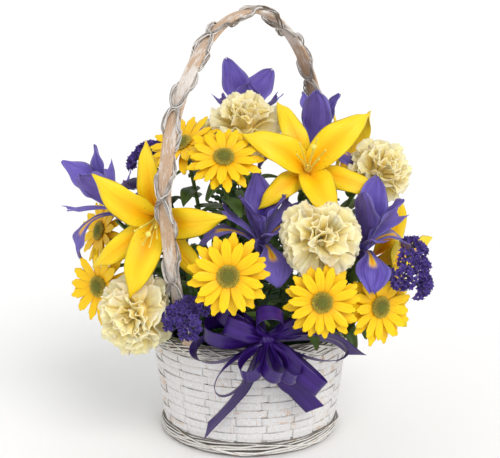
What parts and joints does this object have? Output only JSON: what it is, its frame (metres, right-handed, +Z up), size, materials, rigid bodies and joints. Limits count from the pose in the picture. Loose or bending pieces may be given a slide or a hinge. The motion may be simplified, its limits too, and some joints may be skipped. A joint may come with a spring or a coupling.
{
  "type": "flower basket arrangement",
  "caption": "Round woven basket with a tall fixed hoop handle, filled with yellow lilies, daisies and carnations, violet irises, statice and ferns, with a ribbon bow at the front.",
  "frame": {"origin": "centre of the basket's underside, on the surface that it stands on", "axes": "+Z up; the bow and the front of the arrangement face -Y; +X is to the right seen from the front"},
  "size_m": [0.3619, 0.2866, 0.4199],
  "materials": {
    "whitewashed_willow": "matt white wash over pale splints",
    "handle_splint": "pale wood with a thin white wash",
    "handle_cord": "white-washed twisted cord, matt",
    "liner": "dark green plastic",
    "foam": "wet floral foam",
    "pick": "plain wood",
    "ribbon": "satin",
    "stem": "fresh green",
    "fern_leaf": "fresh dark green",
    "lily_petal": "soft satin petal",
    "lily_stamen": "pale green",
    "iris_petal": "soft petal",
    "daisy_petal": "soft petal",
    "carnation_petal": "soft matt petal",
    "statice_flower": "papery"
  },
  "bodies": {
    "root": {"handle_hoop": "handle_splint", "handle_lacing": "handle_cord", "bow_pick": "pick", "lily_left_stem": "stem", "lily_top_stem": "stem", "lily_right_stem": "stem", "lily_back_stem": "stem", "iris_left_stem": "stem", "iris_top_stem": "stem", "iris_back_stem": "stem", "iris_front_stem": "stem", "iris_right_stem": "stem", "carnation_top_stem": "stem", "carnation_front_stem": "stem", "carnation_left_stem": "stem", "carnation_right_stem": "stem", "daisy_spray_front": "stem", "daisy_spray_right": "stem", "daisy_spray_top": "stem", "daisy_spray_left": "stem", "rim_border": "whitewashed_willow", "foot_border": "whitewashed_willow", "basket_base": "whitewashed_willow", "basket_wall": "whitewashed_willow", "liner": "liner", "bow_ribbon": "ribbon", "daisy_front_rays": "daisy_petal", "daisy_low_rays": "daisy_petal", "daisy_right_rays": "daisy_petal", "daisy_top_rays": "daisy_petal", "daisy_high_rays": "daisy_petal", "daisy_left_rays": "daisy_petal", "daisy_side_rays": "daisy_petal", "lily_left_stamens": "lily_stamen", "lily_top_stamens": "lily_stamen", "lily_right_stamens": "lily_stamen", "lily_back_stamens": "lily_stamen", "statice_right": "statice_flower", "statice_left": "statice_flower", "statice_top": "statice_flower", "iris_left_petals": "iris_petal", "iris_top_petals": "iris_petal", "iris_back_petals": "iris_petal", "iris_front_petals": "iris_petal", "iris_right_petals": "iris_petal", "carnation_top_petals": "carnation_petal", "carnation_front_petals": "carnation_petal", "carnation_left_petals": "carnation_petal", "carnation_right_petals": "carnation_petal", "lily_left_tepals": "lily_petal", "lily_top_tepals": "lily_petal", "lily_right_tepals": "lily_petal", "lily_back_tepals": "lily_petal", "fern_front": "fern_leaf", "fern_right": "fern_leaf", "fern_left": "fern_leaf", "fern_back_left": "fern_leaf", "fern_back_right": "fern_leaf", "fern_back": "fern_leaf", "floral_foam": "foam"}
  },
  "joints": []
}
